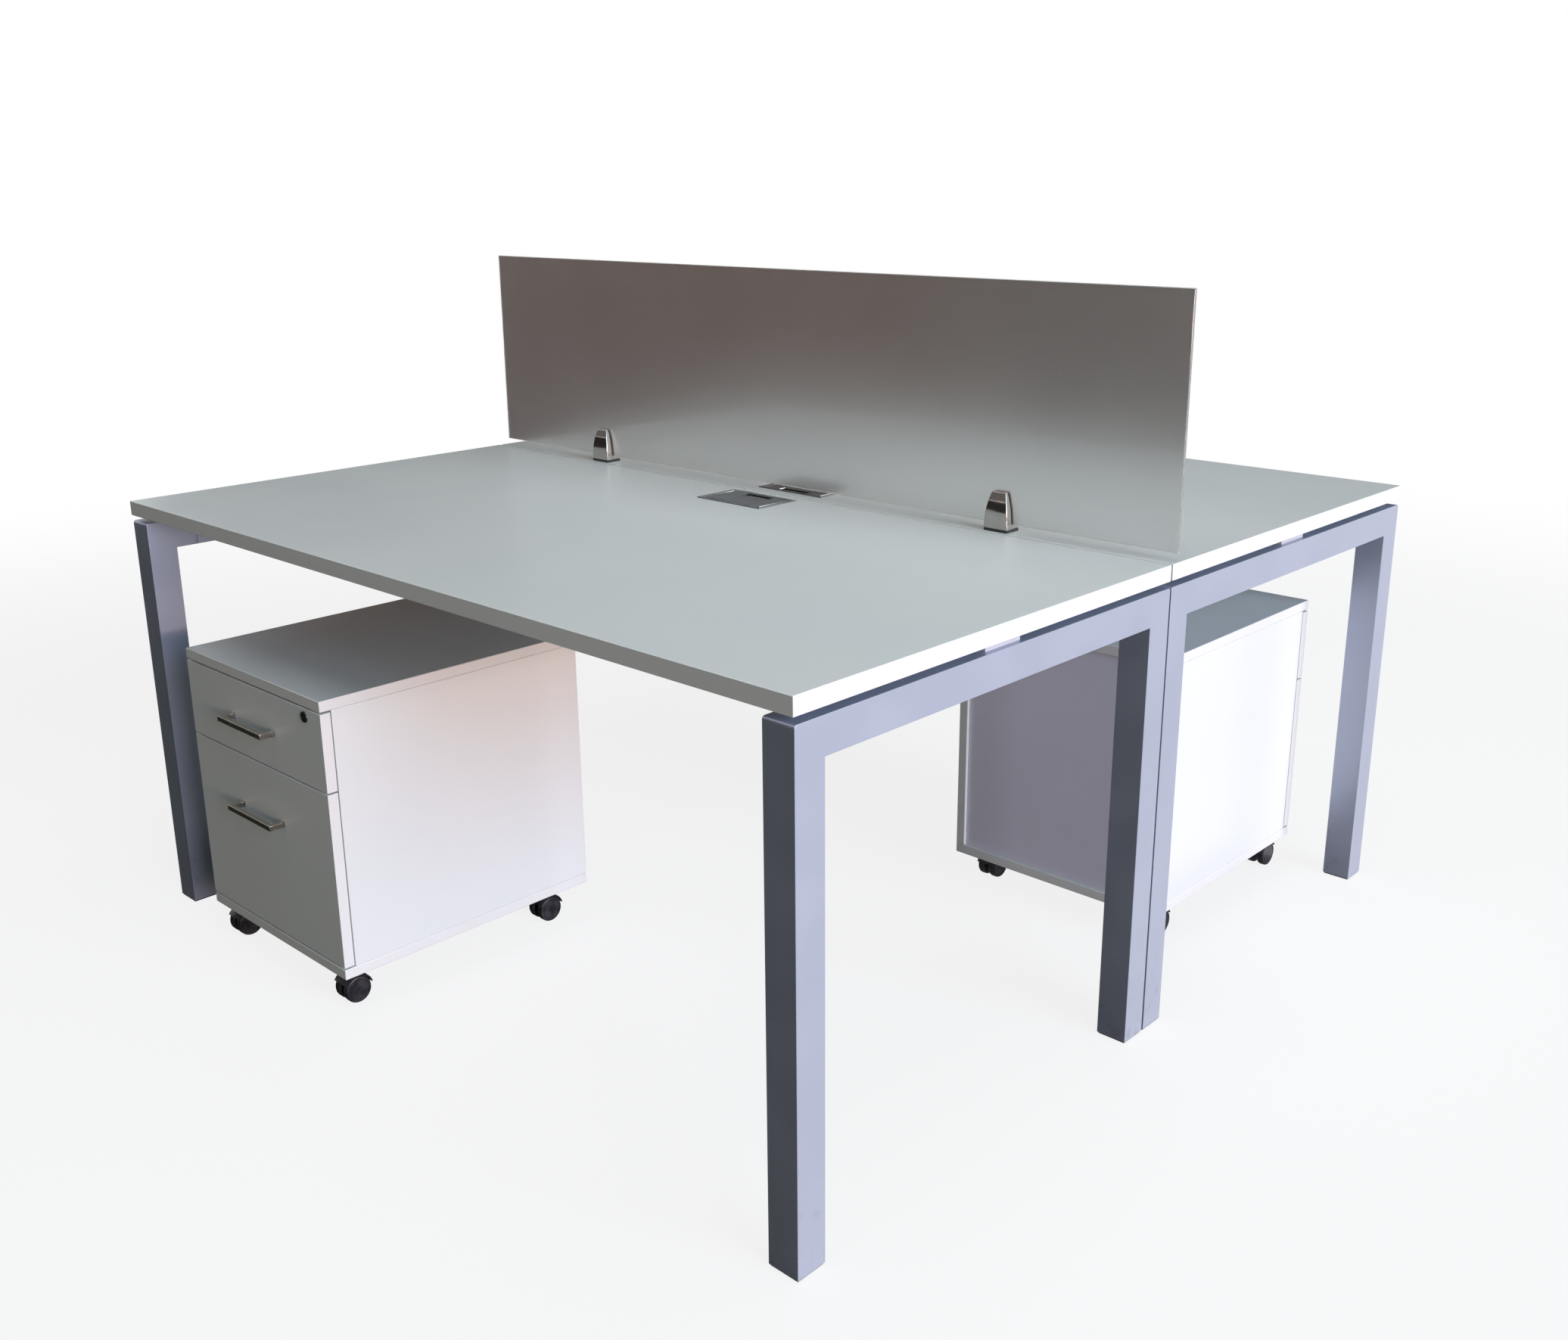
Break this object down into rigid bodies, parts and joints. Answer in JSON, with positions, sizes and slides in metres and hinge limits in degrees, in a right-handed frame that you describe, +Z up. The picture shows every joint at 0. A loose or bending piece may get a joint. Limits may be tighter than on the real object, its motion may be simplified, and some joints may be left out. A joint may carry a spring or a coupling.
{
  "type": "benching desk",
  "caption": "Back-to-back office bench on square-tube goal-post frames, with a frosted dividing screen, hinged cable flaps and lockable mobile drawer pedestals on castors.",
  "frame": {"origin": "centre of the whole set's floor plan, on the floor", "axes": "+Z up; X along the desks; -Y towards the front user, whose pedestal stands on the -X side"},
  "size_m": [1.6, 1.65, 1.148],
  "materials": {
    "melamine": "white melamine-faced board, fine matt texture, white edge band",
    "frame_paint": "satin lavender-silver powder coat",
    "frosted_screen": "frosted sheet with a glossy face",
    "clamp_chrome": "polished",
    "flap_aluminium": "satin silver",
    "drawer_box": "light grey foil-wrapped board",
    "handle_steel": "brushed nickel",
    "lock_black": "satin black",
    "castor_plastic": "matt black",
    "castor_wheel": "satin black"
  },
  "bodies": {
    "desk": {"desktop_front": "melamine", "desktop_rear": "melamine", "end_frame_front_left": "frame_paint", "end_frame_front_right": "frame_paint", "end_frame_rear_left": "frame_paint", "end_frame_rear_right": "frame_paint", "beam_front_outer": "frame_paint", "beam_front_inner": "frame_paint", "beam_rear_outer": "frame_paint", "beam_rear_inner": "frame_paint", "screen": "frosted_screen", "clamp_left_body": "clamp_chrome", "clamp_left_jaw": "clamp_chrome", "clamp_right_body": "clamp_chrome", "clamp_right_jaw": "clamp_chrome", "flap_front_frame": "flap_aluminium", "flap_rear_frame": "flap_aluminium"},
    "front_lid": {"flap_front_lid": "flap_aluminium"},
    "rear_lid": {"flap_rear_lid": "flap_aluminium"},
    "front_pedestal": {"pedestal_front_top": "melamine", "pedestal_front_base": "melamine", "pedestal_front_side_left": "melamine", "pedestal_front_side_right": "melamine", "pedestal_front_back": "melamine"},
    "front_upper_drawer": {"pedestal_front_upper_front": "melamine", "pedestal_front_upper_box": "drawer_box", "pedestal_front_upper_handle": "handle_steel"},
    "front_lower_drawer": {"pedestal_front_lower_front": "melamine", "pedestal_front_lower_box": "drawer_box", "pedestal_front_lower_handle": "handle_steel"},
    "front_lock": {"pedestal_front_lock": "lock_black"},
    "front_castor_front_left": {"pedestal_front_castor_front_left": "castor_plastic"},
    "front_castor_front_right": {"pedestal_front_castor_front_right": "castor_plastic"},
    "front_castor_rear_left": {"pedestal_front_castor_rear_left": "castor_plastic"},
    "front_castor_rear_right": {"pedestal_front_castor_rear_right": "castor_plastic"},
    "front_wheels_front_left": {"pedestal_front_wheels_front_left": "castor_wheel"},
    "front_wheels_front_right": {"pedestal_front_wheels_front_right": "castor_wheel"},
    "front_wheels_rear_left": {"pedestal_front_wheels_rear_left": "castor_wheel"},
    "front_wheels_rear_right": {"pedestal_front_wheels_rear_right": "castor_wheel"},
    "rear_pedestal": {"pedestal_rear_top": "melamine", "pedestal_rear_base": "melamine", "pedestal_rear_side_left": "melamine", "pedestal_rear_side_right": "melamine", "pedestal_rear_back": "melamine"},
    "rear_upper_drawer": {"pedestal_rear_upper_front": "melamine", "pedestal_rear_upper_box": "drawer_box", "pedestal_rear_upper_handle": "handle_steel"},
    "rear_lower_drawer": {"pedestal_rear_lower_front": "melamine", "pedestal_rear_lower_box": "drawer_box", "pedestal_rear_lower_handle": "handle_steel"},
    "rear_lock": {"pedestal_rear_lock": "lock_black"},
    "rear_castor_front_left": {"pedestal_rear_castor_front_left": "castor_plastic"},
    "rear_castor_front_right": {"pedestal_rear_castor_front_right": "castor_plastic"},
    "rear_castor_rear_left": {"pedestal_rear_castor_rear_left": "castor_plastic"},
    "rear_castor_rear_right": {"pedestal_rear_castor_rear_right": "castor_plastic"},
    "rear_wheels_front_left": {"pedestal_rear_wheels_front_left": "castor_wheel"},
    "rear_wheels_front_right": {"pedestal_rear_wheels_front_right": "castor_wheel"},
    "rear_wheels_rear_left": {"pedestal_rear_wheels_rear_left": "castor_wheel"},
    "rear_wheels_rear_right": {"pedestal_rear_wheels_rear_right": "castor_wheel"}
  },
  "joints": [
    {"name": "front_lid_hinge", "type": "hinge", "parent": "desk", "child": "front_lid", "pos_m": [0.003, -0.0807, 0.76], "axis": [1, 0, 0], "range_deg": [0, 95]},
    {"name": "rear_lid_hinge", "type": "hinge", "parent": "desk", "child": "rear_lid", "pos_m": [0.017, 0.1307, 0.76], "axis": [-1, 0, 0], "range_deg": [0, 95]},
    {"name": "front_pedestal_roll", "type": "slide", "parent": "desk", "child": "front_pedestal", "axis": [0, -1, 0], "range_m": [-0.25, 0.6]},
    {"name": "front_upper_drawer_slide", "type": "slide", "parent": "front_pedestal", "child": "front_upper_drawer", "axis": [0, -1, 0], "range_m": [0, 0.33]},
    {"name": "front_lower_drawer_slide", "type": "slide", "parent": "front_pedestal", "child": "front_lower_drawer", "axis": [0, -1, 0], "range_m": [0, 0.4]},
    {"name": "front_lock_turn", "type": "hinge", "parent": "front_upper_drawer", "child": "front_lock", "pos_m": [-0.223, -0.797, 0.5], "axis": [0, 1, 0], "range_deg": [0, 90]},
    {"name": "front_castor_front_left_swivel", "type": "hinge", "parent": "front_pedestal", "child": "front_castor_front_left", "pos_m": [-0.567, -0.746, 0.06], "axis": [0, 0, 1], "continuous": true},
    {"name": "front_castor_front_right_swivel", "type": "hinge", "parent": "front_pedestal", "child": "front_castor_front_right", "pos_m": [-0.213, -0.746, 0.06], "axis": [0, 0, 1], "continuous": true},
    {"name": "front_castor_rear_left_swivel", "type": "hinge", "parent": "front_pedestal", "child": "front_castor_rear_left", "pos_m": [-0.567, -0.348, 0.06], "axis": [0, 0, 1], "continuous": true},
    {"name": "front_castor_rear_right_swivel", "type": "hinge", "parent": "front_pedestal", "child": "front_castor_rear_right", "pos_m": [-0.213, -0.348, 0.06], "axis": [0, 0, 1], "continuous": true},
    {"name": "front_wheels_front_left_spin", "type": "hinge", "parent": "front_castor_front_left", "child": "front_wheels_front_left", "pos_m": [-0.567, -0.764, 0.023], "axis": [1, 0, 0], "continuous": true},
    {"name": "front_wheels_front_right_spin", "type": "hinge", "parent": "front_castor_front_right", "child": "front_wheels_front_right", "pos_m": [-0.213, -0.764, 0.023], "axis": [1, 0, 0], "continuous": true},
    {"name": "front_wheels_rear_left_spin", "type": "hinge", "parent": "front_castor_rear_left", "child": "front_wheels_rear_left", "pos_m": [-0.567, -0.366, 0.023], "axis": [1, 0, 0], "continuous": true},
    {"name": "front_wheels_rear_right_spin", "type": "hinge", "parent": "front_castor_rear_right", "child": "front_wheels_rear_right", "pos_m": [-0.213, -0.366, 0.023], "axis": [1, 0, 0], "continuous": true},
    {"name": "rear_pedestal_roll", "type": "slide", "parent": "desk", "child": "rear_pedestal", "axis": [0, 1, 0], "range_m": [-0.2, 0.6]},
    {"name": "rear_upper_drawer_slide", "type": "slide", "parent": "rear_pedestal", "child": "rear_upper_drawer", "axis": [0, 1, 0], "range_m": [0, 0.33]},
    {"name": "rear_lower_drawer_slide", "type": "slide", "parent": "rear_pedestal", "child": "rear_lower_drawer", "axis": [0, 1, 0], "range_m": [0, 0.4]},
    {"name": "rear_lock_turn", "type": "hinge", "parent": "rear_upper_drawer", "child": "rear_lock", "pos_m": [0.291, 0.769, 0.5], "axis": [0, -1, 0], "range_deg": [0, 90]},
    {"name": "rear_castor_front_left_swivel", "type": "hinge", "parent": "rear_pedestal", "child": "rear_castor_front_left", "pos_m": [0.635, 0.718, 0.06], "axis": [0, 0, 1], "continuous": true},
    {"name": "rear_castor_front_right_swivel", "type": "hinge", "parent": "rear_pedestal", "child": "rear_castor_front_right", "pos_m": [0.281, 0.718, 0.06], "axis": [0, 0, 1], "continuous": true},
    {"name": "rear_castor_rear_left_swivel", "type": "hinge", "parent": "rear_pedestal", "child": "rear_castor_rear_left", "pos_m": [0.635, 0.32, 0.06], "axis": [0, 0, 1], "continuous": true},
    {"name": "rear_castor_rear_right_swivel", "type": "hinge", "parent": "rear_pedestal", "child": "rear_castor_rear_right", "pos_m": [0.281, 0.32, 0.06], "axis": [0, 0, 1], "continuous": true},
    {"name": "rear_wheels_front_left_spin", "type": "hinge", "parent": "rear_castor_front_left", "child": "rear_wheels_front_left", "pos_m": [0.635, 0.736, 0.023], "axis": [1, 0, 0], "continuous": true},
    {"name": "rear_wheels_front_right_spin", "type": "hinge", "parent": "rear_castor_front_right", "child": "rear_wheels_front_right", "pos_m": [0.281, 0.736, 0.023], "axis": [1, 0, 0], "continuous": true},
    {"name": "rear_wheels_rear_left_spin", "type": "hinge", "parent": "rear_castor_rear_left", "child": "rear_wheels_rear_left", "pos_m": [0.635, 0.338, 0.023], "axis": [1, 0, 0], "continuous": true},
    {"name": "rear_wheels_rear_right_spin", "type": "hinge", "parent": "rear_castor_rear_right", "child": "rear_wheels_rear_right", "pos_m": [0.281, 0.338, 0.023], "axis": [1, 0, 0], "continuous": true}
  ]
}
